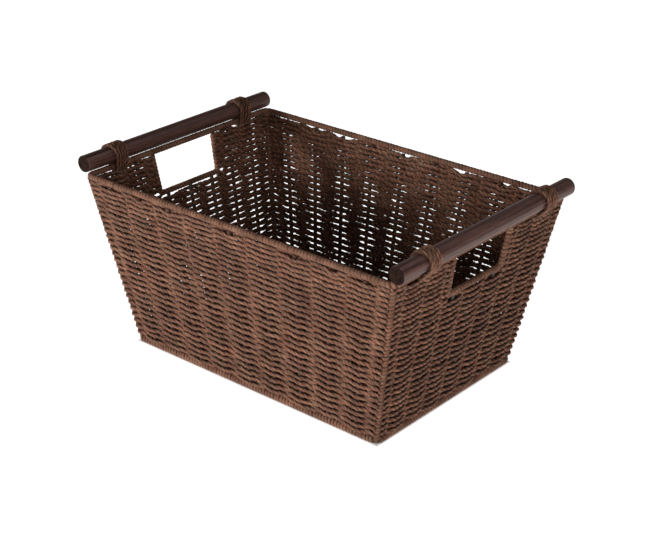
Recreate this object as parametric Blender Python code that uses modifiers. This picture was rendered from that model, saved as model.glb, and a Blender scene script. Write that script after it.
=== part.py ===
"""Rectangular storage basket: steel wire frame, woven cord panels, two lashed bar handles.

Units are metres, +Z up.  +X runs along the length of the basket, from handle to handle.
The origin is the centre of the underside.  Every piece is its own named object.
"""
import math

import bmesh
import bpy
from mathutils import Matrix, Vector

# ---------------------------------------------------------------- driving dimensions
RIM_HALF_L = 0.2130          # rim wire centre line, half length along X
RIM_HALF_W = 0.1435          # rim wire centre line, half width along Y
RIM_Z = 0.2004               # height of the rim wire centre line
BASE_HALF_L = 0.1735         # base wire centre line, half length along X
BASE_HALF_W = 0.1155         # base wire centre line, half width along Y
BASE_Z = 0.0043              # height of the base wire centre line
CORNER_R = 0.007             # bend radius of both ring wires

GAP = 0.0003                 # clearance kept between touching pieces
RING_WIRE_R = 0.0025         # rim and base wire
RIM_BIND_R = 0.0036          # outside of the cord wound on the rim wire
BASE_BIND_R = 0.0040         # outside of the cord wound on the base wire
POST_R = 0.0020              # corner post wire
POST_BIND_R = 0.0035         # outside of the cord wound on a corner post
STAKE_R = 0.0023             # stakes: wire covered with wound paper
ROD_R = 0.0014               # bare wire rods under the woven base
HOLE_WIRE_R = 0.0018         # wire framing a hand hole
HOLE_BIND_R = 0.0034         # outside of the cord wound on that wire
HOLE_BEND_R = 0.005          # bend radius of that wire

PANEL_T = 0.0100             # thickness of a woven panel
BASE_T = 0.0098              # thickness of the woven base
EDGE = 0.0047                # panel edge to base wire centre line, along the wall
EDGE_TOP = 0.0040            # panel edge to rim wire centre line
STAKE_END = 0.0050           # stake end to base wire centre line, along the wall
STAKE_TOP = 0.0043           # stake end to rim wire centre line
POST_END = 0.0054            # post end to base wire centre line, along the wall
POST_TOP = 0.0047            # post end to rim wire centre line
SIDE_INSET = 0.0059          # panel side edge to corner line
POST_INSET = 0.0019          # corner post to corner line, along each wall

LONG_STAKES = 9              # stakes in each long wall
LONG_FAN = 0.2104            # spacing of those stakes, as a fraction of half length
END_STAKES = 7               # stakes in each end wall
END_FAN = 0.2586             # spacing of those stakes, as a fraction of half width
BASE_RODS = 5                # rods under the woven base

HOLE_FAN = 0.3415            # hand-hole post position as a fraction of half width
HOLE_DROP = 0.0495           # rim centre line to hand-hole bar, down the wall

HANDLE_R = 0.0095            # 19 mm bar
HANDLE_HALF_LEN = 0.1455
HANDLE_X = 0.2170
HANDLE_Z = 0.2132
HANDLE_EDGE = 0.0012         # rounding of the bar ends

LASH_Y = 0.0990              # centre of each lashing from the middle of the bar
LASH_HALF_W = 0.0110
LASH_CORD = 0.0035           # thickness of the lashing cord

CORD_COLOUR = (0.170, 0.085, 0.055, 1.0)
BINDING_COLOUR = (0.185, 0.095, 0.062, 1.0)
WOOD_COLOUR = (0.045, 0.018, 0.012, 1.0)
STEEL_COLOUR = (0.030, 0.022, 0.018, 1.0)

# ---------------------------------------------------------------- scene set-up
for old in list(bpy.data.objects):
    bpy.data.objects.remove(old, do_unlink=True)

basket = bpy.data.collections.new("woven_basket")
cutters = bpy.data.collections.new("cutters")
for coll in (basket, cutters):
    bpy.context.scene.collection.children.link(coll)


def material(name, colour, roughness, metallic=0.0):
    """One plain Principled material."""
    mat = bpy.data.materials.new(name)
    mat.use_nodes = True
    shader = mat.node_tree.nodes["Principled BSDF"]
    shader.inputs["Base Color"].default_value = colour
    shader.inputs["Roughness"].default_value = roughness
    shader.inputs["Metallic"].default_value = metallic
    mat.diffuse_color = colour
    return mat


def finish(obj, colour, roughness, metallic=0.0):
    """Give a piece its own material."""
    obj.data.materials.clear()
    obj.data.materials.append(material("mat_" + obj.name, colour, roughness, metallic))
    return obj


# ---------------------------------------------------------------- wall coordinates
# side is "front", "back", "left" or "right"; fan runs -1..1 between the corner posts;
# drop is the distance below the rim wire measured down the wall.
SIDES = ("front", "back", "left", "right")


def wall_rise(side):
    """Length of a wall from base wire to rim wire, up its slope."""
    run = RIM_HALF_W - BASE_HALF_W if side in ("front", "back") else RIM_HALF_L - BASE_HALF_L
    return math.hypot(run, RIM_Z - BASE_Z)


def wall_point(side, fan, drop):
    """A point on the middle surface of a wall."""
    t = drop / wall_rise(side)
    half_l = RIM_HALF_L + (BASE_HALF_L - RIM_HALF_L) * t
    half_w = RIM_HALF_W + (BASE_HALF_W - RIM_HALF_W) * t
    z = RIM_Z + (BASE_Z - RIM_Z) * t
    if side == "front":
        return Vector((fan * half_l, -half_w, z))
    if side == "back":
        return Vector((fan * half_l, half_w, z))
    if side == "left":
        return Vector((-half_l, fan * half_w, z))
    return Vector((half_l, fan * half_w, z))


def wall_fan(side, drop, offset):
    """Fan value of a line lying a fixed offset inside the corner line."""
    t = drop / wall_rise(side)
    if side in ("front", "back"):
        half = RIM_HALF_L + (BASE_HALF_L - RIM_HALF_L) * t
    else:
        half = RIM_HALF_W + (BASE_HALF_W - RIM_HALF_W) * t
    return (half - offset) / half


# ---------------------------------------------------------------- basic shapes
def tube_curve(name, points, radius, closed=False, resolution=2):
    """A round wire along straight segments."""
    data = bpy.data.curves.new(name, "CURVE")
    data.dimensions = "3D"
    data.bevel_depth = radius
    data.bevel_resolution = resolution
    data.use_fill_caps = not closed
    spline = data.splines.new("POLY")
    spline.points.add(len(points) - 1)
    for slot, point in zip(spline.points, points):
        slot.co = (point[0], point[1], point[2], 1.0)
    spline.use_cyclic_u = closed
    obj = bpy.data.objects.new(name, data)
    basket.objects.link(obj)
    return obj


def as_mesh(obj, into=None):
    """Turn a curve piece into a clean closed mesh piece."""
    name = obj.name
    bpy.context.view_layer.update()
    mesh = bpy.data.meshes.new_from_object(obj)
    work = bmesh.new()
    work.from_mesh(mesh)
    bmesh.ops.remove_doubles(work, verts=work.verts, dist=1e-6)
    bmesh.ops.recalc_face_normals(work, faces=work.faces)
    work.to_mesh(mesh)
    work.free()
    matrix = obj.matrix_world.copy()
    bpy.data.objects.remove(obj, do_unlink=True)
    solid = bpy.data.objects.new(name, mesh)
    solid.matrix_world = matrix
    (into or basket).objects.link(solid)
    return solid


def tube_mesh(name, points, radius, closed=False, resolution=2, into=None):
    return as_mesh(tube_curve(name, points, radius, closed, resolution), into)


def joined(name, pieces):
    """Several separate closed solids used as one cutter."""
    work = bmesh.new()
    for piece in pieces:
        start = len(work.verts)
        work.from_mesh(piece.data)
        work.verts.ensure_lookup_table()
        bmesh.ops.transform(work, matrix=piece.matrix_world, verts=work.verts[start:])
        bpy.data.objects.remove(piece, do_unlink=True)
    mesh = bpy.data.meshes.new(name)
    work.to_mesh(mesh)
    work.free()
    return hide_cutter(bpy.data.objects.new(name, mesh))


def hide_cutter(obj):
    for coll in list(obj.users_collection):
        coll.objects.unlink(obj)
    cutters.objects.link(obj)
    obj.hide_render = True
    obj.display_type = "WIRE"
    return obj


def boolean(target, tool, operation="DIFFERENCE"):
    step = target.modifiers.new(operation.lower() + "_" + tool.name, "BOOLEAN")
    step.operation = operation
    step.solver = "EXACT"
    step.object = hide_cutter(tool)
    return target


def sheet(name, corners, thickness, into=None):
    """A flat four-cornered plate, thickened equally to both sides."""
    work = bmesh.new()
    bmesh.ops.create_grid(work, x_segments=1, y_segments=1, size=0.5)
    order = {(-1, -1): 0, (1, -1): 1, (1, 1): 2, (-1, 1): 3}
    for vert in work.verts:
        key = (1 if vert.co.x > 0 else -1, 1 if vert.co.y > 0 else -1)
        vert.co = corners[order[key]]
    mesh = bpy.data.meshes.new(name)
    work.to_mesh(mesh)
    work.free()
    obj = bpy.data.objects.new(name, mesh)
    (into or basket).objects.link(obj)
    solid = obj.modifiers.new("thickness", "SOLIDIFY")
    solid.thickness = thickness
    solid.offset = 0.0
    return obj


def cylinder(name, centre, radius, half_len, segments, into=None):
    """A cylinder lying along Y."""
    work = bmesh.new()
    turn = Matrix.Translation(centre) @ Matrix.Rotation(math.radians(90), 4, "X")
    bmesh.ops.create_cone(work, cap_ends=True, segments=segments, radius1=radius,
                          radius2=radius, depth=2 * half_len, matrix=turn)
    mesh = bpy.data.meshes.new(name)
    work.to_mesh(mesh)
    work.free()
    obj = bpy.data.objects.new(name, mesh)
    (into or basket).objects.link(obj)
    return obj


def rounded_loop(half_l, half_w, z, radius, steps=4):
    """Closed rectangular path with rounded corners, anticlockwise from the front right."""
    path = []
    for quarter, (sx, sy) in enumerate(((1, -1), (1, 1), (-1, 1), (-1, -1))):
        for step in range(steps + 1):
            angle = math.radians(-90 + 90 * quarter + 90 * step / steps)
            path.append(Vector((sx * (half_l - radius) + radius * math.cos(angle),
                                sy * (half_w - radius) + radius * math.sin(angle), z)))
    return path


# ---------------------------------------------------------------- ring wires and their bindings
rim_path = rounded_loop(RIM_HALF_L, RIM_HALF_W, RIM_Z, CORNER_R)
base_path = rounded_loop(BASE_HALF_L, BASE_HALF_W, BASE_Z, CORNER_R)
finish(tube_curve("rim_wire", rim_path, RING_WIRE_R, closed=True), STEEL_COLOUR, 0.5, 0.6)
finish(tube_curve("base_wire", base_path, RING_WIRE_R, closed=True), STEEL_COLOUR, 0.5, 0.6)


def ring_binding(name, path, radius, half_w, z):
    """Cord sleeve round a ring wire; the two cord ends meet at a fine joint at the back."""
    sleeve = tube_mesh(name, path, radius, closed=True, resolution=3)
    boolean(sleeve, tube_mesh(name + "_bore", path, RING_WIRE_R + GAP, closed=True, resolution=2))
    joint = sheet(name + "_joint", [Vector((0.0, half_w - 0.01, z - 0.01)),
                                    Vector((0.0, half_w + 0.01, z - 0.01)),
                                    Vector((0.0, half_w + 0.01, z + 0.01)),
                                    Vector((0.0, half_w - 0.01, z + 0.01))], 2 * GAP)
    boolean(sleeve, joint)
    return finish(sleeve, BINDING_COLOUR, 0.75)


ring_binding("rim_binding", rim_path, RIM_BIND_R, RIM_HALF_W, RIM_Z)
ring_binding("base_binding", base_path, BASE_BIND_R, BASE_HALF_W, BASE_Z)

# ---------------------------------------------------------------- corner posts
for tag, side, sx, sy in (("front_left", "front", -1, -1), ("front_right", "front", 1, -1),
                          ("back_left", "back", -1, 1), ("back_right", "back", 1, 1)):
    inward = Vector((-sx * POST_INSET, -sy * POST_INSET, 0))
    top = wall_point(side, sx, POST_TOP) + inward
    foot = wall_point(side, sx, wall_rise(side) - POST_END) + inward
    finish(tube_curve("corner_post_" + tag, [top, foot], POST_R), STEEL_COLOUR, 0.5, 0.6)
    along = (foot - top).normalized()
    sleeve = tube_mesh("corner_binding_" + tag, [top, foot], POST_BIND_R, resolution=3)
    bore = tube_mesh("corner_binding_bore_" + tag, [top - along * 0.002, foot + along * 0.002],
                     POST_R + GAP)
    finish(boolean(sleeve, bore), BINDING_COLOUR, 0.75)


# ---------------------------------------------------------------- stakes
def stake_line(side, fan, start=STAKE_TOP, end=None):
    end = wall_rise(side) - STAKE_END if end is None else end
    return [wall_point(side, fan, start), wall_point(side, fan, end)]


def clearance(side, fan, start=-0.004, end=None):
    """The passage a stake needs through a woven panel."""
    end = wall_rise(side) + 0.004 if end is None else end
    return tube_mesh("passage", stake_line(side, fan, start, end), STAKE_R + GAP)


long_fans = [LONG_FAN * (i - LONG_STAKES // 2) for i in range(LONG_STAKES)]
end_fans = [END_FAN * (i - END_STAKES // 2) for i in range(END_STAKES)]
outer_fans = [fan for fan in end_fans if abs(fan) > HOLE_FAN]
inner_fans = [fan for fan in end_fans if abs(fan) < HOLE_FAN]

# depth of the notches that let the lashings pass under the rim
lash_rim_out = RIM_BIND_R + GAP + LASH_CORD
notch_drop = lash_rim_out + 0.0006


def under_lashing(fan):
    return abs(abs(fan) * RIM_HALF_W - LASH_Y) < LASH_HALF_W + 0.003


for side in ("front", "back"):
    for number, fan in enumerate(long_fans, 1):
        finish(tube_curve("stake_%s_%d" % (side, number), stake_line(side, fan), STAKE_R),
               BINDING_COLOUR, 0.75)
for side in ("left", "right"):
    for number, fan in enumerate(outer_fans, 1):
        start = notch_drop + GAP if under_lashing(fan) else STAKE_TOP
        finish(tube_curve("stake_%s_%d" % (side, number), stake_line(side, fan, start), STAKE_R),
               BINDING_COLOUR, 0.75)


# ---------------------------------------------------------------- hand holes
def hole_path(side, overrun=0.0, steps=3):
    """U-shaped path down one post, along the bar and up the other post."""
    tops = [wall_point(side, s * HOLE_FAN, STAKE_TOP - overrun) for s in (-1, 1)]
    bends = [wall_point(side, s * HOLE_FAN, HOLE_DROP) for s in (-1, 1)]
    path = [tops[0]]
    for corner, before, after in ((bends[0], tops[0], bends[1]), (bends[1], bends[0], tops[1])):
        enter = corner + (before - corner).normalized() * HOLE_BEND_R
        leave = corner + (after - corner).normalized() * HOLE_BEND_R
        for step in range(steps + 1):
            t = step / steps
            path.append(enter * (1 - t) ** 2 + corner * 2 * t * (1 - t) + leave * t ** 2)
    path.append(tops[1])
    return path


for side in ("left", "right"):
    grid = tube_mesh("hand_hole_grid_" + side, hole_path(side), HOLE_WIRE_R)
    binding = tube_mesh("hand_hole_binding_" + side, hole_path(side), HOLE_BIND_R, resolution=3)
    boolean(binding, tube_mesh("hole_bore_" + side, hole_path(side, overrun=0.002),
                               HOLE_WIRE_R + GAP))
    for number, fan in enumerate(inner_fans, 1):
        stub = stake_line(side, fan, HOLE_DROP)
        boolean(grid, tube_mesh("stub_%s_%d" % (side, number), stub, STAKE_R), "UNION")
    passages = [clearance(side, fan, HOLE_DROP) for fan in inner_fans]
    boolean(binding, joined("stub_passages_" + side, passages))
    finish(grid, STEEL_COLOUR, 0.5, 0.6)
    finish(binding, BINDING_COLOUR, 0.75)


# ---------------------------------------------------------------- woven walls
def woven_wall(side):
    rise = wall_rise(side)
    low = rise - EDGE
    corners = [wall_point(side, -wall_fan(side, low, SIDE_INSET), low),
               wall_point(side, wall_fan(side, low, SIDE_INSET), low),
               wall_point(side, wall_fan(side, EDGE_TOP, SIDE_INSET), EDGE_TOP),
               wall_point(side, -wall_fan(side, EDGE_TOP, SIDE_INSET), EDGE_TOP)]
    wall = sheet("weave_" + side, corners, PANEL_T)
    if side in ("front", "back"):
        boolean(wall, joined("passages_" + side, [clearance(side, fan) for fan in long_fans]))
        return finish(wall, CORD_COLOUR, 0.8)
    # opening for the hand
    out = HOLE_BIND_R + GAP
    half = HOLE_FAN * RIM_HALF_W
    hole_low = HOLE_DROP + out
    fan_out = (half + out) / RIM_HALF_W + 0.0005
    window = sheet("window_" + side, [wall_point(side, -fan_out, hole_low),
                                      wall_point(side, fan_out, hole_low),
                                      wall_point(side, fan_out, -0.003),
                                      wall_point(side, -fan_out, -0.003)], 3 * PANEL_T)
    boolean(wall, window)
    # notches for the lashings
    for number, sign in enumerate((-1, 1), 1):
        centre = wall_point(side, 0, 0)
        reach = LASH_HALF_W + GAP
        up = (wall_point(side, 0, 0) - wall_point(side, 0, 1)).normalized()
        base_y = sign * LASH_Y
        spots = [centre + Vector((0, base_y - reach, 0)) - up * notch_drop,
                 centre + Vector((0, base_y + reach, 0)) - up * notch_drop,
                 centre + Vector((0, base_y + reach, 0)) + up * 0.003,
                 centre + Vector((0, base_y - reach, 0)) + up * 0.003]
        boolean(wall, sheet("notch_%s_%d" % (side, number), spots, 3 * PANEL_T))
    passages = [clearance(side, fan) for fan in outer_fans]
    passages += [clearance(side, fan, HOLE_DROP) for fan in inner_fans]
    boolean(wall, joined("passages_" + side, passages))
    return finish(wall, CORD_COLOUR, 0.8)


for side in SIDES:
    woven_wall(side)

# ---------------------------------------------------------------- woven base and its rods
base_in = BASE_BIND_R + GAP + 0.0005
half_l = BASE_HALF_L - base_in
half_w = BASE_HALF_W - base_in
mid_z = BASE_T / 2
floor_panel = sheet("weave_base", [Vector((-half_l, -half_w, mid_z)), Vector((half_l, -half_w, mid_z)),
                                   Vector((half_l, half_w, mid_z)), Vector((-half_l, half_w, mid_z))],
                    BASE_T)
soften = floor_panel.modifiers.new("corner_rounding", "BEVEL")
soften.affect = "VERTICES"
soften.width = CORNER_R - base_in + 0.0005
soften.segments = 4
floor_panel.modifiers.move(1, 0)
rod_gap = 2 * BASE_HALF_W / (BASE_RODS + 1)
rod_rows = [-BASE_HALF_W + rod_gap * (i + 1) for i in range(BASE_RODS)]
bores = []
for number, y in enumerate(rod_rows, 1):
    reach = half_l - 0.0003
    finish(tube_curve("base_rod_%d" % number, [(-reach, y, mid_z), (reach, y, mid_z)], ROD_R),
           STEEL_COLOUR, 0.5, 0.6)
    bores.append(tube_mesh("bore", [(-reach - 0.01, y, mid_z), (reach + 0.01, y, mid_z)],
                           ROD_R + GAP))
boolean(floor_panel, joined("base_bores", bores))
finish(floor_panel, CORD_COLOUR, 0.8)


# ---------------------------------------------------------------- handles and lashings
def strap_solid(name, x, y, rim_radius, bar_radius, half_width):
    """Smallest wrap round both the bar and the rim below it."""
    work = bmesh.new()
    spots = ((math.copysign(RIM_HALF_L, x), RIM_Z, rim_radius, 20), (x, HANDLE_Z, bar_radius, 28))
    for sx, z, radius, segments in spots:
        turn = Matrix.Translation((sx, y, z)) @ Matrix.Rotation(math.radians(90), 4, "X")
        bmesh.ops.create_cone(work, cap_ends=True, segments=segments, radius1=radius,
                              radius2=radius, depth=2 * half_width, matrix=turn)
    bmesh.ops.delete(work, geom=work.edges[:] + work.faces[:], context="EDGES_FACES")
    bmesh.ops.convex_hull(work, input=work.verts)
    loose = [v for v in work.verts if not v.link_faces]
    bmesh.ops.delete(work, geom=loose, context="VERTS")
    bmesh.ops.dissolve_limit(work, angle_limit=0.002, verts=work.verts, edges=work.edges)
    bmesh.ops.recalc_face_normals(work, faces=work.faces)
    mesh = bpy.data.meshes.new(name)
    work.to_mesh(mesh)
    work.free()
    obj = bpy.data.objects.new(name, mesh)
    basket.objects.link(obj)
    return obj


for side, sign in (("left", -1), ("right", 1)):
    bar = cylinder("handle_" + side, (sign * HANDLE_X, 0, HANDLE_Z), HANDLE_R, HANDLE_HALF_LEN, 32)
    round_ends = bar.modifiers.new("round_ends", "BEVEL")
    round_ends.width = HANDLE_EDGE
    round_ends.segments = 2
    round_ends.limit_method = "ANGLE"
    round_ends.angle_limit = math.radians(60)
    finish(bar, WOOD_COLOUR, 0.38)
    for tag, place in (("front", -LASH_Y), ("back", LASH_Y)):
        name = "lashing_%s_%s" % (side, tag)
        strap = strap_solid(name, sign * HANDLE_X, place, RIM_BIND_R + GAP + LASH_CORD,
                            HANDLE_R + GAP + LASH_CORD, LASH_HALF_W)
        inner = strap_solid(name + "_inner", sign * HANDLE_X, place, RIM_BIND_R + GAP,
                            HANDLE_R + GAP, LASH_HALF_W + 0.002)
        finish(boolean(strap, inner), BINDING_COLOUR, 0.75)
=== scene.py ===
"""Looks layer for the woven basket: twisted cord woven over a wire frame, wound bindings,
lashed wooden bars, floor, lights and camera.  Metres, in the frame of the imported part."""
import math
import random

import bmesh
import bpy
import numpy as np
from mathutils import Matrix, Vector


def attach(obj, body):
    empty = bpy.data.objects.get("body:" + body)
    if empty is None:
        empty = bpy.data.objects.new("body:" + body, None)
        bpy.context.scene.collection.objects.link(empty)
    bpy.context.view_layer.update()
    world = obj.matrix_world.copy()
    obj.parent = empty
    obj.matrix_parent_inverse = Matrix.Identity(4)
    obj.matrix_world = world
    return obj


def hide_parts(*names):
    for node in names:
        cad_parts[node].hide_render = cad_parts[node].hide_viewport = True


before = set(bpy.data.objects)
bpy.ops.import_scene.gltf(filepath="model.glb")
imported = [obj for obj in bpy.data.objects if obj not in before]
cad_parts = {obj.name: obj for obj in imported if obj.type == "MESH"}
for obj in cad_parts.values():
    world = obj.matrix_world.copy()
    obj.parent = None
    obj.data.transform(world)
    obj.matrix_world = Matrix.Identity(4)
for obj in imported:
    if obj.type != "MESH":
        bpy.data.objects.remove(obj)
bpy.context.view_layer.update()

# ---------------------------------------------------------------- frame of the basket
RIM_HALF_L, RIM_HALF_W, RIM_Z = 0.2130, 0.1435, 0.2004
BASE_HALF_L, BASE_HALF_W, BASE_Z = 0.1735, 0.1155, 0.0043
RING_CORNER_R = 0.007
POST_INSET = 0.0019
LONG_STAKES, LONG_FAN = 9, 0.2104   # stakes in a long wall, and their spacing
END_STAKES, END_FAN = 7, 0.2586     # the same for an end wall
HOLE_FAN = 0.3415                # hand-hole post, as a fraction of the half width
HOLE_DROP = 0.0495               # rim centre line down to the hand-hole bar
HOLE_BEND_R = 0.005
FLOOR_Z = 0.0049                 # middle of the woven base
BASE_RODS = 5

# ---------------------------------------------------------------- cord
CORD_TALL = 0.00242              # half height of the two-ply cord, up the wall
CORD_DEEP = 0.0020               # half depth, through the wall
CORD_PRESSED = 0.0015            # half depth where it lies on a stake
CORD_ACROSS = 0.0044             # mean thickness, which sets how rows nest
AMP_TOP = 0.0034                 # cord centre to wall middle over a stake, near the rim
AMP_LOW = 0.0042                 # the same lower down
AMP_FROM, AMP_TO = 0.030, 0.072  # drops between which it grows
BUMP = 0.0088                    # how far beside a stake a cord stands off
SWING = {"front": 0.84, "right": 0.84, "back": 0.88, "left": 0.92}   # of those, wall by wall
FULL = {"front": 1.09, "right": 1.06, "back": 1.07, "left": 1.03, "base": 1.04}
CROSSING = 0.0022                # half length of the change from front to back between stakes
ROW_PITCH_TOP = 0.00290          # rows are beaten closer together near the rim
ROW_PITCH_LOW = 0.00372
ROW_EASE = 0.085                 # drop over which the pitch widens
FIRST_ROW = 0.0058               # rim centre line to the first row
LAST_ROW = 0.0056                # last row to the base wire centre line
TWIST_PITCH = 0.0142             # length of one full turn of the plies
RING_STEP = 0.0016               # spacing of the cross-sections along the cord
PLY_POINTS = 12                  # points round the cord
MAX_FACES = 90000                # quads in one piece
STAKE_WIDTHS = (0.78, 1.16)      # spread of BUMP from stake to stake
STAKE_SWINGS = (0.74, 1.08)      # spread of the swing from stake to stake
MIDDLE_SPREAD = 0.002            # spread of the place where a cord changes sides
ROW_TONES = (0.84, 1.14)         # spread of tone from row to row
NEST = 0.47                      # share of the nesting depth a cord takes between stakes
BASE_KNOT_INSET = 0.0020         # base wire centre line to where a base row ends
END_REACH = 0.0053               # base wire centre line to the first and last row of the base
HOLE_REACH = 0.0048              # rows this far below the hand-hole bar still stop at it
FIBRE_LONG = 330.0               # fibre coordinates per metre along the cord
FIBRE_ROUND = 3.2                # radius of the fibre coordinates round it
FIBRE_SHIFT = 97.0               # offset between the fibres of neighbouring cords

seed = random.Random(41)


# ---------------------------------------------------------------- node materials
def new_material(name):
    mat = bpy.data.materials.new(name)
    mat.use_nodes = True
    tree = mat.node_tree
    return mat, tree, tree.nodes["Principled BSDF"]


def node(tree, kind, **values):
    made = tree.nodes.new(kind)
    for key, value in values.items():
        if key in made.inputs:
            made.inputs[key].default_value = value
        else:
            setattr(made, key, value)
    return made


def ramp(tree, source, stops):
    """Colour ramp fed by source; stops are (position, linear colour)."""
    made = tree.nodes.new("ShaderNodeValToRGB")
    bands = made.color_ramp.elements
    while len(bands) < len(stops):
        bands.new(0.5)
    for band, (place, colour) in zip(bands, stops):
        band.position = place
        band.color = (*colour, 1.0)
    tree.links.new(source, made.inputs["Fac"])
    return made.outputs["Color"]


def mix(tree, blend, factor, a, b):
    made = tree.nodes.new("ShaderNodeMix")
    made.data_type = "RGBA"
    made.blend_type = blend
    for socket, value in ((made.inputs[0], factor), (made.inputs[6], a), (made.inputs[7], b)):
        if isinstance(value, bpy.types.NodeSocket):
            tree.links.new(value, socket)
        elif isinstance(value, (int, float)):
            socket.default_value = value
        else:
            socket.default_value = (*value, 1.0)
    return made.outputs[2]


def cord_material(name, dark, mid, light, rough=0.82, swept=True):
    """Twisted paper cord: fine fibres along the ply, patches of uneven dye, painted lighter crowns and
    painted shade in the grooves.
    Swept pieces carry fibre coordinates and a tone that holds random row tone and that painted shade; the
    others use fine crosswise banding."""
    mat, tree, shader = new_material(name)
    link = tree.links.new
    space = tree.nodes.new("ShaderNodeTexCoord").outputs["Object"]
    if swept:
        fibres = node(tree, "ShaderNodeAttribute", attribute_name="cord_uv").outputs["Vector"]
        shade = node(tree, "ShaderNodeAttribute", attribute_name="tone_and_painted_shade").outputs["Color"]
    else:
        squeeze = node(tree, "ShaderNodeMapping")
        squeeze.inputs["Scale"].default_value = (260.0, 260.0, 1100.0)
        link(space, squeeze.inputs["Vector"])
        fibres = squeeze.outputs["Vector"]
        shade = None

    patches = node(tree, "ShaderNodeTexNoise", Scale=55.0, Detail=3.0, Roughness=0.55)
    link(space, patches.inputs["Vector"])
    dye = node(tree, "ShaderNodeTexNoise", Scale=420.0, Detail=4.0, Roughness=0.65)
    link(space, dye.inputs["Vector"])
    fibre = node(tree, "ShaderNodeTexNoise", Scale=1.0, Detail=5.0, Roughness=0.6)
    link(fibres, fibre.inputs["Vector"])

    blend = node(tree, "ShaderNodeMath", operation="MULTIPLY_ADD")
    link(fibre.outputs["Fac"], blend.inputs[0])
    blend.inputs[1].default_value = 0.55
    half = node(tree, "ShaderNodeMath", operation="MULTIPLY")
    link(patches.outputs["Fac"], half.inputs[0])
    half.inputs[1].default_value = 0.45
    link(half.outputs[0], blend.inputs[2])
    colour = ramp(tree, blend.outputs[0], ((0.30, dark), (0.50, mid), (0.72, light)))
    tint = ramp(tree, dye.outputs["Fac"], ((0.35, (0.80, 0.72, 0.70)), (0.65, (1.12, 1.10, 1.08))))
    colour = mix(tree, "MULTIPLY", 1.0, colour, tint)
    hue = node(tree, "ShaderNodeTexNoise", Scale=95.0, Detail=2.0, Roughness=0.5)
    link(space, hue.inputs["Vector"])
    cast = ramp(tree, hue.outputs["Fac"], ((0.36, (1.04, 0.95, 0.93)), (0.50, (1.0, 1.0, 1.0)),
                                           (0.64, (0.95, 1.03, 1.01))))
    colour = mix(tree, "MULTIPLY", 1.0, colour, cast)
    # the tone darkens the colour: random tone from row to row and painted shade in the grooves and
    # between cords
    if shade:
        colour = mix(tree, "MULTIPLY", 1.0, colour, shade)
    link(colour, shader.inputs["Base Color"])

    rougher = node(tree, "ShaderNodeMapRange")
    rougher.inputs["To Min"].default_value = rough - 0.14
    rougher.inputs["To Max"].default_value = rough + 0.10
    link(fibre.outputs["Fac"], rougher.inputs["Value"])
    link(rougher.outputs["Result"], shader.inputs["Roughness"])

    bump = node(tree, "ShaderNodeBump", Strength=0.55, Distance=0.00035)
    link(fibre.outputs["Fac"], bump.inputs["Height"])
    link(bump.outputs["Normal"], shader.inputs["Normal"])
    shader.inputs["Specular IOR Level"].default_value = 0.22
    return mat


def wood_material():
    """Dark stained dowel: long grain streaks, pores, darker end grain, satin lacquer."""
    mat, tree, shader = new_material("stained_dowel")
    link = tree.links.new
    space = tree.nodes.new("ShaderNodeTexCoord").outputs["Object"]
    stretch = node(tree, "ShaderNodeMapping")
    stretch.inputs["Scale"].default_value = (330.0, 4.0, 330.0)
    link(space, stretch.inputs["Vector"])
    grain = node(tree, "ShaderNodeTexNoise", Scale=1.0, Detail=6.0, Roughness=0.62, Distortion=0.4)
    link(stretch.outputs["Vector"], grain.inputs["Vector"])
    pores_map = node(tree, "ShaderNodeMapping")
    pores_map.inputs["Scale"].default_value = (1500.0, 60.0, 1500.0)
    link(space, pores_map.inputs["Vector"])
    pores = node(tree, "ShaderNodeTexNoise", Scale=1.0, Detail=2.0, Roughness=0.5)
    link(pores_map.outputs["Vector"], pores.inputs["Vector"])
    colour = ramp(tree, grain.outputs["Fac"], ((0.32, (0.026, 0.0110, 0.0085)),
                                               (0.46, (0.070, 0.0300, 0.0225)),
                                               (0.56, (0.118, 0.0520, 0.0400)),
                                               (0.68, (0.050, 0.0210, 0.0165))))
    pore_tone = ramp(tree, pores.outputs["Fac"], ((0.36, (0.55, 0.52, 0.50)),
                                                  (0.50, (1.0, 1.0, 1.0))))
    colour = mix(tree, "MULTIPLY", 1.0, colour, pore_tone)
    facing = node(tree, "ShaderNodeNewGeometry")
    split = node(tree, "ShaderNodeSeparateXYZ")
    link(facing.outputs["Normal"], split.inputs["Vector"])
    size = node(tree, "ShaderNodeMath", operation="ABSOLUTE")
    link(split.outputs["Y"], size.inputs[0])
    end = ramp(tree, size.outputs[0], ((0.60, (1.0, 1.0, 1.0)), (0.90, (0.20, 0.25, 0.24))))
    colour = mix(tree, "MULTIPLY", 1.0, colour, end)
    link(colour, shader.inputs["Base Color"])
    rough = node(tree, "ShaderNodeMapRange")
    rough.inputs["To Min"].default_value = 0.30
    rough.inputs["To Max"].default_value = 0.52
    link(grain.outputs["Fac"], rough.inputs["Value"])
    cut = node(tree, "ShaderNodeMapRange")
    cut.inputs["From Min"].default_value = 0.60
    cut.inputs["From Max"].default_value = 0.90
    cut.inputs["To Max"].default_value = 0.40
    link(size.outputs[0], cut.inputs["Value"])
    coarse = node(tree, "ShaderNodeMath", operation="ADD")
    link(rough.outputs["Result"], coarse.inputs[0])
    link(cut.outputs["Result"], coarse.inputs[1])
    link(coarse.outputs[0], shader.inputs["Roughness"])
    gloss = node(tree, "ShaderNodeMapRange")
    gloss.inputs["From Min"].default_value = 0.60
    gloss.inputs["From Max"].default_value = 0.90
    gloss.inputs["To Min"].default_value = 0.26
    gloss.inputs["To Max"].default_value = 0.02
    link(size.outputs[0], gloss.inputs["Value"])
    link(gloss.outputs["Result"], shader.inputs["Specular IOR Level"])
    bump = node(tree, "ShaderNodeBump", Strength=0.25, Distance=0.0002)
    link(pores.outputs["Fac"], bump.inputs["Height"])
    link(bump.outputs["Normal"], shader.inputs["Normal"])
    return mat


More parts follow.
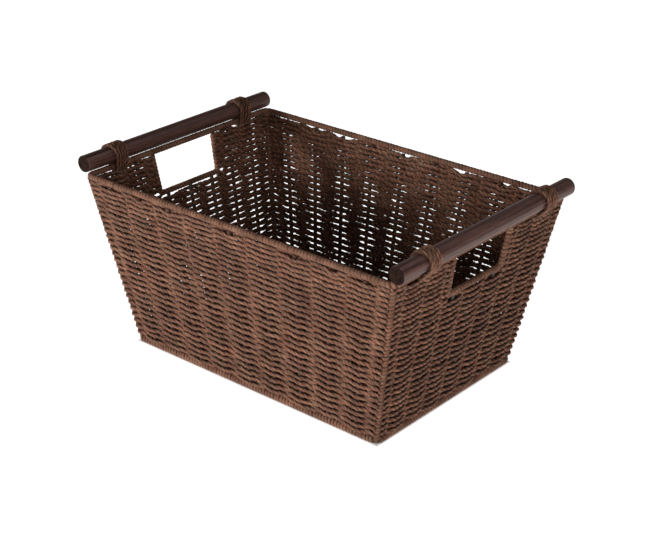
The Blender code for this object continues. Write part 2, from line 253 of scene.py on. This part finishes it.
def wire_material():
    """Dark painted steel wire with slight unevenness in the paint."""
    mat, tree, shader = new_material("painted_wire")
    link = tree.links.new
    space = tree.nodes.new("ShaderNodeTexCoord").outputs["Object"]
    spots = node(tree, "ShaderNodeTexNoise", Scale=700.0, Detail=3.0)
    link(space, spots.inputs["Vector"])
    colour = ramp(tree, spots.outputs["Fac"], ((0.35, (0.020, 0.012, 0.009)),
                                               (0.65, (0.045, 0.028, 0.020))))
    link(colour, shader.inputs["Base Color"])
    rough = node(tree, "ShaderNodeMapRange")
    rough.inputs["To Min"].default_value = 0.38
    rough.inputs["To Max"].default_value = 0.62
    link(spots.outputs["Fac"], rough.inputs["Value"])
    link(rough.outputs["Result"], shader.inputs["Roughness"])
    bump = node(tree, "ShaderNodeBump", Strength=0.2, Distance=0.0001)
    link(spots.outputs["Fac"], bump.inputs["Height"])
    link(bump.outputs["Normal"], shader.inputs["Normal"])
    return mat


CORD = cord_material("woven_cord", (0.060, 0.023, 0.013), (0.155, 0.072, 0.043),
                     (0.265, 0.142, 0.090))
WOUND = cord_material("wound_cord", (0.062, 0.025, 0.015), (0.158, 0.076, 0.047),
                      (0.260, 0.142, 0.092))
# painted shade: the cord on the stakes is coloured about half as bright as the woven cord, standing in
# for the shade behind the front cords
WRAPPED_SHADED = cord_material("wrapped_wire_shaded", (0.030, 0.012, 0.008), (0.075, 0.035, 0.022),
                        (0.130, 0.068, 0.044), swept=False)
WOOD = wood_material()
WIRE = wire_material()


# ---------------------------------------------------------------- sweeping cord along a path
class Strands:
    """Collects swept cords."""

    def __init__(self, name, mat, slot, nodes):
        self.name, self.mat, self.slot, self.nodes = name, mat, slot, nodes
        self.verts, self.quads, self.uvs, self.tones, self.caps = [], [], [], [], []
        self.count, self.faces, self.pieces = 0, 0, []

    def sweep(self, path, side, profile, tone=1.0, start=0.0, closed=False, painted_shade=None):
        """path: (n, 3) centres; side: (n, 3) reference directions; profile is the pair
        of (n, k) offsets of the cross-sections, across and outward."""
        n = len(path)
        if closed:
            ahead = np.roll(path, -1, axis=0) - np.roll(path, 1, axis=0)
        else:
            ahead = np.gradient(path, axis=0)
        ahead /= np.linalg.norm(ahead, axis=1, keepdims=True)
        out = side - (side * ahead).sum(1, keepdims=True) * ahead
        out /= np.linalg.norm(out, axis=1, keepdims=True)
        across = np.cross(ahead, out)
        u, v = profile
        k = u.shape[1]
        ring = path[:, None, :] + across[:, None, :] * u[:, :, None] + out[:, None, :] * v[:, :, None]
        self.verts.append(ring.reshape(-1, 3))
        i = np.arange(n if closed else n - 1)[:, None]
        j = np.arange(k)[None, :]
        nxt = (i + 1) % n
        a, b = i * k + j, i * k + (j + 1) % k
        c, d = nxt * k + (j + 1) % k, nxt * k + j
        quads = np.stack([a, b, c, d], axis=2).reshape(-1, 4) + self.count
        self.quads.append(quads)
        run = np.concatenate([[0], np.cumsum(np.linalg.norm(np.diff(path, axis=0), axis=1))]) + start
        # fibre coordinates: long along the cord, short round it
        around = np.arange(k) / k
        uv = np.zeros((n, k, 3))
        uv[:, :, 0] = run[:, None] * FIBRE_LONG
        uv[:, :, 1] = np.cos(2 * np.pi * around)[None, :] * FIBRE_ROUND
        uv[:, :, 2] = np.sin(2 * np.pi * around)[None, :] * FIBRE_ROUND + start * FIBRE_SHIFT
        self.uvs.append(uv.reshape(-1, 3))
        tones = np.full((n, k), 1.0) * np.reshape(tone, (-1, 1))
        # painted shade: the grooves between plies, the contacts between rows and the sides between wound
        # turns are darkened into the tone
        if painted_shade is not None:
            tones = tones * painted_shade
        self.tones.append(tones.ravel())
        if not closed:
            self.caps.append(list(range(self.count + k - 1, self.count - 1, -1)))
            last = self.count + (n - 1) * k
            self.caps.append(list(range(last, last + k)))
        self.count += n * k
        self.faces += len(quads)
        if self.faces > MAX_FACES:
            self.flush()

    def flush(self):
        if not self.count:
            return
        mesh = bpy.data.meshes.new(self.name)
        verts = np.concatenate(self.verts)
        quads = np.concatenate(self.quads)
        mesh.from_pydata(verts.tolist(), [], quads.tolist() + self.caps)
        mesh.shade_smooth()
        fibres = mesh.attributes.new("cord_uv", "FLOAT_VECTOR", "POINT")
        fibres.data.foreach_set("vector", np.concatenate(self.uvs).ravel())
        tone = np.concatenate(self.tones)
        tints = mesh.attributes.new("tone_and_painted_shade", "FLOAT_COLOR", "POINT")
        rgba = np.stack([tone, tone, tone, np.ones_like(tone)], axis=1)
        tints.data.foreach_set("color", rgba.ravel())
        mesh.materials.append(self.mat)
        name = "%s_%d" % (self.name, len(self.pieces) + 1)
        obj = bpy.data.objects.new(name, mesh)
        bpy.context.scene.collection.objects.link(obj)
        self.pieces.append(obj)
        self.verts, self.quads, self.uvs, self.tones, self.caps = [], [], [], [], []
        self.count = self.faces = 0

    def finish(self):
        self.flush()
        for piece in self.pieces:
            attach(piece, "root")
            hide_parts(*self.nodes)


def two_ply(n, step, phase, radius, pitch=TWIST_PITCH, hand=-1.0):
    """Cross-sections of two plies twisted together, and painted shade for each point: darker in the
    groove between the plies and where it touches the next cord.
    """
    turns = step * np.arange(n) / pitch
    turns = turns + 0.13 * np.sin(turns * 1.9 + phase) + 0.07 * np.sin(turns * 5.3 + 2.0 * phase)
    twist = phase + hand * 2 * np.pi * turns
    angle = twist[:, None] + 2 * np.pi * np.arange(PLY_POINTS)[None, :] / PLY_POINTS
    crown = np.cos(2 * (angle - twist[:, None]))
    reach = radius * (0.885 + 0.115 * crown)
    edge = np.clip((np.abs(np.cos(angle)) - 0.50) / 0.46, 0, 1)
    # painted shade: dark in the grooves between the plies and at the sides that touch the next row,
    # lighter on the crowns
    painted_shade = (0.50 + 0.66 * (0.5 + 0.5 * crown)) * (1.08 - 0.70 * edge ** 1.4)
    return (reach * np.cos(angle), reach * np.sin(angle)), painted_shade


def oval(n, across, outward, points=8):
    """Cross-sections of one plain ply, with painted shade darker toward its two sides, where it meets the
    next turn.
    """
    angle = 2 * np.pi * np.arange(points)[None, :] / points + np.zeros((n, 1))
    # painted shade between neighbouring turns, lighter on the outward crown
    painted_shade = 0.32 + 0.74 * np.abs(np.sin(angle)) ** 1.3
    return (across * np.cos(angle), outward * np.sin(angle)), painted_shade


# ---------------------------------------------------------------- wall coordinates
def wall_rise(side):
    run = RIM_HALF_W - BASE_HALF_W if side in ("front", "back") else RIM_HALF_L - BASE_HALF_L
    return math.hypot(run, RIM_Z - BASE_Z)


def half_length(side, drop):
    """Half the length of a row on this wall at this drop below the rim."""
    t = drop / wall_rise(side)
    if side in ("front", "back"):
        return RIM_HALF_L + (BASE_HALF_L - RIM_HALF_L) * t
    return RIM_HALF_W + (BASE_HALF_W - RIM_HALF_W) * t


def wall_frame(side):
    """Origin at the middle of the rim line, along, down and outward directions."""
    if side in ("front", "back"):
        s = -1.0 if side == "front" else 1.0
        top, foot = np.array([0, s * RIM_HALF_W, RIM_Z]), np.array([0, s * BASE_HALF_W, BASE_Z])
        along = np.array([1.0, 0, 0])
    else:
        s = -1.0 if side == "left" else 1.0
        top, foot = np.array([s * RIM_HALF_L, 0, RIM_Z]), np.array([s * BASE_HALF_L, 0, BASE_Z])
        along = np.array([0, 1.0, 0])
    down = (foot - top) / np.linalg.norm(foot - top)
    out = np.cross(along, down)
    centre = np.array([top[0], top[1], 0])
    if np.dot(out, centre) < 0:
        out = -out
    return top, along, down, out


def weave_height(x, knots, signs, amp, nest):
    """Distance in front of the wall's middle: amp at each knot and nest beyond it, changing
    sides half way to the next knot.  Also how much of the way it is pressed on the knot."""
    w, over = np.zeros_like(x), np.zeros_like(x)
    side = np.full_like(x, signs[0])
    for a, b, sa, sb in zip(knots[:-1], knots[1:], signs[:-1], signs[1:]):
        middle = (a + b) / 2 + seed.uniform(-MIDDLE_SPREAD, MIDDLE_SPREAD)
        side += (sb - sa) * 0.5 * (1 + np.tanh((x - middle) / CROSSING))
    for knot, sign in zip(knots, signs):
        hill = np.exp(-(np.abs(x - knot) / (BUMP * seed.uniform(*STAKE_WIDTHS))) ** 3)
        w += (amp * seed.uniform(*STAKE_SWINGS) - nest) * sign * hill
        over += hill
    return w + nest * side, np.clip(over, 0, 1)


def wobble(x, amount, length):
    """Smooth seeded wandering along a row."""
    total = np.zeros_like(x)
    for k in range(3):
        wave = length * (1.0, 0.43, 0.21)[k]
        total += (0.6, 0.3, 0.2)[k] * np.sin(2 * np.pi * x / wave + seed.uniform(0, 2 * np.pi))
    return amount * total


def woven_row(strands, place, along, down, out, lo, hi, knots, signs, index, pitch, amp,
              sag=None, full=1.0):
    """One cord from lo to hi along a wall, in front of and behind the wires at the knots."""
    n = max(6, int(round((hi - lo) / RING_STEP)))
    x = np.linspace(lo, hi, n + 1)
    nest = NEST * math.sqrt(CORD_ACROSS ** 2 - pitch ** 2)
    w, over = weave_height(x, knots, signs, amp, nest)
    lift = wobble(x, 0.00042, 0.040)
    if sag is not None:
        lift = lift + sag(x)
    path = place + along * x[:, None] + out * w[:, None] + down * lift[:, None]
    side = np.repeat(out[None, :], len(x), axis=0)
    step = (hi - lo) / n
    (u, v), painted_shade = two_ply(len(x), step, seed.uniform(0, 2 * math.pi), seed.uniform(0.96, 1.05),
                              TWIST_PITCH * seed.uniform(0.9, 1.12))
    u = u * CORD_TALL * full
    v = v * (CORD_DEEP + (CORD_PRESSED - CORD_DEEP) * over[:, None])
    tone = seed.uniform(*ROW_TONES) * (1.0 + wobble(x, 0.10, 0.07))
    strands.sweep(path, side, (u, v), tone, start=index * 0.731 + seed.uniform(0, 0.3),
                  painted_shade=painted_shade)


def row_drops(rise):
    """Drops of all the rows of a wall, close together at the rim and wider lower down."""
    last = rise - LAST_ROW
    drops, drop = [], FIRST_ROW
    while drop < last:
        drops.append(drop)
        ease = min(1.0, (drop - FIRST_ROW) / ROW_EASE)
        drop += ROW_PITCH_TOP + (ROW_PITCH_LOW - ROW_PITCH_TOP) * ease
    stretch = (last - FIRST_ROW) / (drops[-1] - FIRST_ROW)
    return [FIRST_ROW + (d - FIRST_ROW) * stretch for d in drops]


POST_SIGN = 0.62        # cords meet the corner post a little in front of or behind its middle

# places where the first rows have slipped down from the rim: stake number and offset beside it
SLIPS = {"front": ((-4.9, 0.0), (-3, 0.004), (-2, 0.003), (0, 0.003), (2, 0.0), (3, 0.006)),
         "back": ((-3, -0.0075), (-3, 0.0075), (-2, -0.0065), (-2, 0.0075), (0, 0.0065),
                  (2, -0.0070), (3, 0.0070)),
         "left": ((-2.6, 0.0), (2.4, 0.0)), "right": ((-2.5, 0.0), (2.6, 0.0))}
SLIP_DEEP = 0.0027      # how far they have slipped
SLIP_WIDE = 0.0062      # half width of such a place
SLIP_FADE = 0.0062      # drop over which it dies away
GAP_DEEP = 0.0030       # how far rows slip under the lower corners of a hand hole
GAP_BESIDE = 0.0060     # distance of that place beyond the hand-hole post
GAP_WIDE = 0.0050       # half width of that place


def slipped(side, drop, spacing):
    """How far each point of this row has slipped down."""
    deep = SLIP_DEEP * math.exp(-(drop - FIRST_ROW) / SLIP_FADE)
    below = drop - HOLE_DROP
    corner = math.exp(-below / SLIP_FADE) if side in ("left", "right") and below > 0 else 0.0
    hole = HOLE_FAN * half_length(side, drop)

    def sag(x):
        total = np.zeros_like(x)
        for number, beside in SLIPS[side]:
            total += np.exp(-np.abs((x - number * spacing - beside) / SLIP_WIDE) ** 3)
        gap = np.exp(-np.abs((np.abs(x) - hole - GAP_BESIDE) / GAP_WIDE) ** 3)
        return deep * np.clip(total, 0, 1.15) + GAP_DEEP * corner * gap
    return sag


def weave_wall(side):
    count, fan_step = (LONG_STAKES, LONG_FAN) if side in ("front", "back") else (END_STAKES, END_FAN)
    fans = [fan_step * (i - count // 2) for i in range(count)]
    top, along, down, out = wall_frame(side)
    strands = Strands("woven_" + side, CORD, "woven_cord", ["weave_" + side])
    drops = row_drops(wall_rise(side))
    for r, drop in enumerate(drops):
        pitch = drops[min(r + 1, len(drops) - 1)] - drops[min(r, len(drops) - 2)]
        ease = min(1.0, max(0.0, (drop - AMP_FROM) / (AMP_TO - AMP_FROM)))
        amp = AMP_TOP + (AMP_LOW - AMP_TOP) * ease * ease * (3 - 2 * ease)
        half = half_length(side, drop)
        place = top + down * drop
        sag = slipped(side, drop, fan_step * half)
        parity = 1 if r % 2 == 0 else -1
        knots = [-half + POST_INSET] + [fan * half for fan in fans] + [half - POST_INSET]
        signs = [parity * (-1) ** k for k in range(len(knots))]
        signs[0] *= POST_SIGN
        signs[-1] *= POST_SIGN
        if side in ("left", "right") and drop < HOLE_DROP + HOLE_REACH:
            # the row stops at the wires that frame the hand hole
            post = HOLE_FAN * half
            for lo, hi, part in ((knots[0], -post, 0.0), (post, knots[-1], 0.5)):
                spots = [(k, s) for k, s in zip(knots, signs) if lo - 0.001 < k < hi + 0.001
                         and abs(k) > post + 0.002]
                stop = (-post, -POST_SIGN * np.sign(spots[-1][1])) if part == 0.0 else \
                    (post, -POST_SIGN * np.sign(spots[0][1]))
                spots = spots + [stop] if part == 0.0 else [stop] + spots
                woven_row(strands, place, along, down, out, lo, hi, [k for k, _ in spots],
                          [s for _, s in spots], r + part, pitch, amp * SWING[side], sag, FULL[side])
            continue
        woven_row(strands, place, along, down, out, knots[0], knots[-1], knots, signs, r, pitch,
                  amp * SWING[side], sag, FULL[side])
    strands.finish()


FLOOR_AMP = 0.0030      # cord centre to the middle of the base where it passes a rod


def weave_base():
    strands = Strands("woven_base", CORD, "woven_cord", ["weave_base"])
    reach = BASE_HALF_L - END_REACH
    rows = int(2 * reach / ROW_PITCH_LOW) + 1
    gap = 2 * BASE_HALF_W / (BASE_RODS + 1)
    knots = [-BASE_HALF_W + BASE_KNOT_INSET] + [-BASE_HALF_W + gap * (i + 1) for i in range(BASE_RODS)] \
        + [BASE_HALF_W - BASE_KNOT_INSET]
    for r in range(rows):
        x = -reach + 2 * reach * r / (rows - 1)
        signs = [(1 if r % 2 else -1) * (-1) ** k for k in range(len(knots))]
        signs[0], signs[-1] = 0.0, 0.0
        place = np.array([x, 0.0, FLOOR_Z])
        woven_row(strands, place, np.array([0, 1.0, 0]), np.array([1.0, 0, 0]), np.array([0, 0, 1.0]),
                  knots[0], knots[-1], knots, signs, r, ROW_PITCH_LOW, FLOOR_AMP,
                  full=FULL["base"])
    strands.finish()


for side in ("front", "back", "left", "right"):
    weave_wall(side)
weave_base()


# ---------------------------------------------------------------- cord wound on a wire
def resample(points, step, closed):
    pts = np.array(points, dtype=float)
    if closed:
        pts = np.vstack([pts, pts[:1]])
    seg = np.linalg.norm(np.diff(pts, axis=0), axis=1)
    run = np.concatenate([[0], np.cumsum(seg)])
    n = max(2, int(round(run[-1] / step)))
    at = np.linspace(0, run[-1], n + 1)
    return np.stack([np.interp(at, run, pts[:, i]) for i in range(3)], axis=1), run[-1]


def wind(strands, points, up, coil_r, turn_pitch, across, outward, per_turn=12, closed=False,
         index=0, sway=0.05):
    """Cord wound in a tight helix of radius coil_r round the wire through points."""
    fine, length = resample(points, 0.001, closed)
    turns = max(1, int(round(length / turn_pitch)))
    n = turns * per_turn
    at = np.linspace(0, 1, n + 1)
    src = np.linspace(0, 1, len(fine))
    core = np.stack([np.interp(at, src, fine[:, i]) for i in range(3)], axis=1)
    ahead = np.gradient(core, axis=0)
    if closed:
        ahead[0] = ahead[-1] = core[1] - core[-2]
    ahead /= np.linalg.norm(ahead, axis=1, keepdims=True)
    ref = np.repeat(np.array(up, dtype=float)[None, :], n + 1, axis=0)
    ref -= (ref * ahead).sum(1, keepdims=True) * ahead
    ref /= np.linalg.norm(ref, axis=1, keepdims=True)
    other = np.cross(ahead, ref)
    phase = 2 * np.pi * turns * at
    wave = np.array([seed.uniform(-1, 1) for _ in range(turns + 2)])
    uneven = np.interp(at * turns, np.arange(turns + 2), wave)
    coil = coil_r * (1 + sway * uneven)
    out = ref * np.cos(phase)[:, None] + other * np.sin(phase)[:, None]
    path = core + out * coil[:, None]
    slide = turn_pitch * 0.10 * np.interp(at * turns, np.arange(turns + 2), np.roll(wave, 1))
    path += ahead * slide[:, None]
    tones = np.array([seed.uniform(0.78, 1.18) for _ in range(turns // 2 + 3)])
    tone = np.interp(at * turns / 2, np.arange(turns // 2 + 3), tones)
    profile, painted_shade = oval(n + 1, across, outward)
    strands.sweep(path, out, profile, tone, start=index * 1.37, painted_shade=painted_shade)


def ring_path(half_l, half_w, z, radius=RING_CORNER_R, steps=6):
    path = []
    for quarter, (sx, sy) in enumerate(((1, -1), (1, 1), (-1, 1), (-1, -1))):
        for step in range(steps + 1):
            angle = math.radians(-90 + 90 * quarter + 90 * step / steps)
            path.append((sx * (half_l - radius) + radius * math.cos(angle),
                         sy * (half_w - radius) + radius * math.sin(angle), z))
    return path


RIM_TURN = 0.0042                # spacing of the turns on the rim and base
POST_TURN = 0.0046               # the same on corners and hand holes
RIM_COIL, RIM_CORD = 0.0023, (0.0025, 0.0013)     # coil radius; cord across and outward
BASE_COIL, BASE_CORD = 0.0024, (0.00215, 0.0017)
CORNER_COIL, HOLE_COIL, POST_CORD = 0.0021, 0.0020, (0.0024, 0.0015)
LASH_START = 0.0036              # outside of the cord wound on the rim
rim = Strands("rim_cord", WOUND, "binding_cord", ["rim_binding"])
wind(rim, ring_path(RIM_HALF_L, RIM_HALF_W, RIM_Z), (0, 0, 1), RIM_COIL, RIM_TURN,
     *RIM_CORD, closed=True, index=1)
rim.finish()
foot = Strands("base_cord", WOUND, "binding_cord", ["base_binding"])
wind(foot, ring_path(BASE_HALF_L, BASE_HALF_W, BASE_Z), (0, 0, 1), BASE_COIL, RIM_TURN,
     *BASE_CORD, closed=True, index=2)
foot.finish()

corners = (("front_left", -1, -1), ("front_right", 1, -1), ("back_left", -1, 1), ("back_right", 1, 1))
for number, (tag, sx, sy) in enumerate(corners):
    head = (sx * (RIM_HALF_L - POST_INSET), sy * (RIM_HALF_W - POST_INSET), RIM_Z - 0.003)
    toe = (sx * (BASE_HALF_L - POST_INSET), sy * (BASE_HALF_W - POST_INSET), BASE_Z + 0.003)
    post = Strands("corner_cord_" + tag, WOUND, "binding_cord", ["corner_binding_" + tag])
    wind(post, [head, toe], (sx, sy, 0), CORNER_COIL, POST_TURN, *POST_CORD, index=3 + number)
    post.finish()


def hole_path(side):
    """Down one post of the hand hole, along its bar and up the other post."""
    top, along, down, out = wall_frame(side)

    def spot(fan, drop):
        return top + along * fan * half_length(side, drop) + down * drop

    tops = [spot(s * HOLE_FAN, 0.0035) for s in (-1, 1)]
    bends = [spot(s * HOLE_FAN, HOLE_DROP) for s in (-1, 1)]
    path = [tops[0]]
    for corner, before, after in ((bends[0], tops[0], bends[1]), (bends[1], bends[0], tops[1])):
        enter = corner + (before - corner) / np.linalg.norm(before - corner) * HOLE_BEND_R
        leave = corner + (after - corner) / np.linalg.norm(after - corner) * HOLE_BEND_R
        for step in range(6):
            t = step / 5
            path.append(enter * (1 - t) ** 2 + corner * 2 * t * (1 - t) + leave * t ** 2)
    path.append(tops[1])
    return path, out


for number, side in enumerate(("left", "right")):
    path, out = hole_path(side)
    grip = Strands("hand_hole_cord_" + side, WOUND, "binding_cord", ["hand_hole_binding_" + side])
    wind(grip, path, out, HOLE_COIL, POST_TURN, *POST_CORD, index=9 + number)
    grip.finish()


# ---------------------------------------------------------------- handles and lashings
# the bars come from the frame; these only place the lashings round them
HANDLE_R, HANDLE_X, HANDLE_Z = 0.0095, 0.2170, 0.2132
LASH_Y, LASH_TURNS, LASH_PITCH = 0.0990, 5, 0.0040
LASH_CORD_R = 0.00180
LASH_POINTS = 64                 # cross-sections in one turn
LASH_JITTER = 0.0010             # unevenness of the turns along the bar
LASH_TWIST = 0.0145              # length of one full turn of its plies


def belt(radius_low, radius_high, sign, count):
    """Closed outline round the rim wire and the bar, as (x, z) with outward directions."""
    low = np.array([sign * RIM_HALF_L, RIM_Z])
    high = np.array([sign * HANDLE_X, HANDLE_Z])
    axis = (high - low) / np.linalg.norm(high - low)
    span = np.linalg.norm(high - low)
    lean = math.asin((radius_high - radius_low) / span)
    side = np.array([axis[1], -axis[0]])
    start = math.pi / 2 + lean
    pts, outs = [], []
    for k in range(24):
        a = -start + 2 * start * k / 23
        d = axis * math.cos(a) + side * math.sin(a)
        pts.append(high + d * radius_high)
        outs.append(d)
    for k in range(20):
        a = start + 2 * (math.pi - start) * k / 19
        d = axis * math.cos(a) + side * math.sin(a)
        pts.append(low + d * radius_low)
        outs.append(d)
    pts, outs = np.array(pts), np.array(outs)
    loop = np.vstack([pts, pts[:1]])
    out_loop = np.vstack([outs, outs[:1]])
    run = np.concatenate([[0], np.cumsum(np.linalg.norm(np.diff(loop, axis=0), axis=1))])
    at = np.linspace(0, run[-1], count + 1)[:-1]
    place = np.stack([np.interp(at, run, loop[:, i]) for i in range(2)], axis=1)
    face = np.stack([np.interp(at, run, out_loop[:, i]) for i in range(2)], axis=1)
    return place, face / np.linalg.norm(face, axis=1, keepdims=True), run[-1]


def lash(side, tag, sign, centre):
    strands = Strands("lashing_cord_%s_%s" % (side, tag), WOUND, "binding_cord",
                      ["lashing_%s_%s" % (side, tag)])
    per = LASH_POINTS
    place, face, length = belt(LASH_START + LASH_CORD_R, HANDLE_R + LASH_CORD_R, sign, per)
    n = LASH_TURNS * per
    idx = np.arange(n + 1) % per
    y = centre + LASH_PITCH * (np.arange(n + 1) / per - LASH_TURNS / 2)
    jitter = np.array([seed.uniform(-LASH_JITTER, LASH_JITTER) for _ in range(LASH_TURNS * 2 + 2)])
    y = y + np.interp(np.arange(n + 1) / per * 2, np.arange(LASH_TURNS * 2 + 2), jitter)
    path = np.stack([place[idx, 0], y, place[idx, 1]], axis=1)
    out = np.stack([face[idx, 0], np.zeros(n + 1), face[idx, 1]], axis=1)
    profile, painted_shade = two_ply(n + 1, length / per, seed.uniform(0, 6.28), LASH_CORD_R * 1.08, LASH_TWIST)
    strands.sweep(path, out, profile, 1.0 + 0.10 * np.sin(np.arange(n + 1) / 31.0), start=20 + centre,
                  painted_shade=painted_shade)
    strands.finish()


for side, sign in (("left", -1), ("right", 1)):
    for tag, centre in (("front", -LASH_Y), ("back", LASH_Y)):
        lash(side, tag, sign, centre)


# ---------------------------------------------------------------- carried-over pieces of the frame
for name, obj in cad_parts.items():
    if name.startswith("handle_"):
        paint = WOOD
    elif name.startswith("stake_"):
        # stakes take the cord colour darkened as painted shade
        paint = WRAPPED_SHADED
    else:
        paint = WIRE
    if not obj.material_slots:
        obj.data.materials.append(paint)
    for place in obj.material_slots:
        place.material = paint


# ---------------------------------------------------------------- floor, light and camera
def plain_floor():
    mesh = bpy.data.meshes.new("floor")
    work = bmesh.new()
    bmesh.ops.create_grid(work, x_segments=8, y_segments=8, size=3.0)
    work.to_mesh(mesh)
    work.free()
    obj = bpy.data.objects.new("floor", mesh)
    bpy.context.scene.collection.objects.link(obj)
    mat, tree, shader = new_material("pale_floor")
    space = tree.nodes.new("ShaderNodeTexCoord").outputs["Object"]
    cloud = node(tree, "ShaderNodeTexNoise", Scale=1.2, Detail=2.0)
    tree.links.new(space, cloud.inputs["Vector"])
    colour = ramp(tree, cloud.outputs["Fac"], ((0.3, (0.90, 0.90, 0.90)), (0.7, (0.93, 0.93, 0.93))))
    tree.links.new(colour, shader.inputs["Base Color"])
    shader.inputs["Roughness"].default_value = 0.9
    shader.inputs["Specular IOR Level"].default_value = 0.1
    shader.inputs["Emission Color"].default_value = (1, 1, 1, 1)
    # painted shadow: the glow stops under the basket and fades back in at the edge of its base, where
    # real shade would fall
    split = node(tree, "ShaderNodeSeparateXYZ")
    tree.links.new(space, split.inputs["Vector"])
    outside = []
    for axis, half in (("X", BASE_HALF_L), ("Y", BASE_HALF_W)):
        size = node(tree, "ShaderNodeMath", operation="ABSOLUTE")
        tree.links.new(split.outputs[axis], size.inputs[0])
        fade = node(tree, "ShaderNodeMapRange")
        fade.inputs["From Min"].default_value = half + 0.001
        fade.inputs["From Max"].default_value = half + 0.004
        fade.inputs["To Max"].default_value = FLOOR_GLOW
        tree.links.new(size.outputs[0], fade.inputs["Value"])
        outside.append(fade)
    either = node(tree, "ShaderNodeMath", operation="MAXIMUM")
    for number, fade in enumerate(outside):
        tree.links.new(fade.outputs["Result"], either.inputs[number])
    tree.links.new(either.outputs[0], shader.inputs["Emission Strength"])
    mesh.materials.append(mat)


def area_light(name, place, target, size, power):
    data = bpy.data.lights.new(name, "AREA")
    data.shape = "DISK"
    data.size = size
    data.energy = power
    obj = bpy.data.objects.new(name, data)
    obj.location = place
    aim = Vector(target) - Vector(place)
    obj.rotation_euler = aim.to_track_quat("-Z", "Y").to_euler()
    bpy.context.scene.collection.objects.link(obj)


FLOOR_GLOW = 0.84                # a lit studio floor
SKY_ZENITH, SKY_HORIZON = 0.02, 0.42
KEY_POWER, SIDE_POWER, TOP_POWER = 50, 6.8, 4     # watts

plain_floor()
area_light("key", (-1.1, -2.0, 0.52), (0, 0, 0.1), 0.6, KEY_POWER)
area_light("side", (1.10, -0.75, 0.48), (0.15, 0, 0.12), 0.35, SIDE_POWER)
area_light("top", (0.5, 0.9, 1.7), (0.0, 0, 0.2), 0.5, TOP_POWER)


def studio_world():
    """Pale walls all round and a dim ceiling."""
    world = bpy.data.worlds.new("studio")
    bpy.context.scene.world = world
    world.use_nodes = True
    tree = world.node_tree
    sky = tree.nodes["Background"]
    where = tree.nodes.new("ShaderNodeTexCoord")
    split = tree.nodes.new("ShaderNodeSeparateXYZ")
    tree.links.new(where.outputs["Generated"], split.inputs["Vector"])
    fade = node(tree, "ShaderNodeMapRange")
    fade.inputs["From Min"].default_value = 0.10
    fade.inputs["From Max"].default_value = 0.62
    fade.inputs["To Min"].default_value = SKY_HORIZON
    fade.inputs["To Max"].default_value = SKY_ZENITH
    tree.links.new(split.outputs["Z"], fade.inputs["Value"])
    tree.links.new(fade.outputs["Result"], sky.inputs["Strength"])
    sky.inputs["Color"].default_value = (1, 1, 1, 1)


studio_world()
bpy.context.scene.view_settings.view_transform = "Standard"

CAM_AZIMUTH = math.radians(40.743)
CAM_ELEVATION = math.radians(25.264)
CAM_DISTANCE = 1.669
CAM_LENS = 83.84
toward = Vector((math.sin(CAM_AZIMUTH) * math.cos(CAM_ELEVATION),
                 -math.cos(CAM_AZIMUTH) * math.cos(CAM_ELEVATION), math.sin(CAM_ELEVATION)))
rightward = Vector((math.cos(CAM_AZIMUTH), math.sin(CAM_AZIMUTH), 0))
upward = toward.cross(rightward)
cam_data = bpy.data.cameras.new("camera")
cam_data.lens = CAM_LENS
cam_data.sensor_width = 36.0
cam = bpy.data.objects.new("camera", cam_data)
bpy.context.scene.collection.objects.link(cam)
LOOK_AT = Vector((0, 0, 0.1003)) + rightward * 0.0039 - upward * 0.0007
cam.matrix_world = Matrix.Translation(LOOK_AT + toward * CAM_DISTANCE) @ Matrix(
    (rightward, upward, toward)).transposed().to_4x4()
bpy.context.scene.camera = cam

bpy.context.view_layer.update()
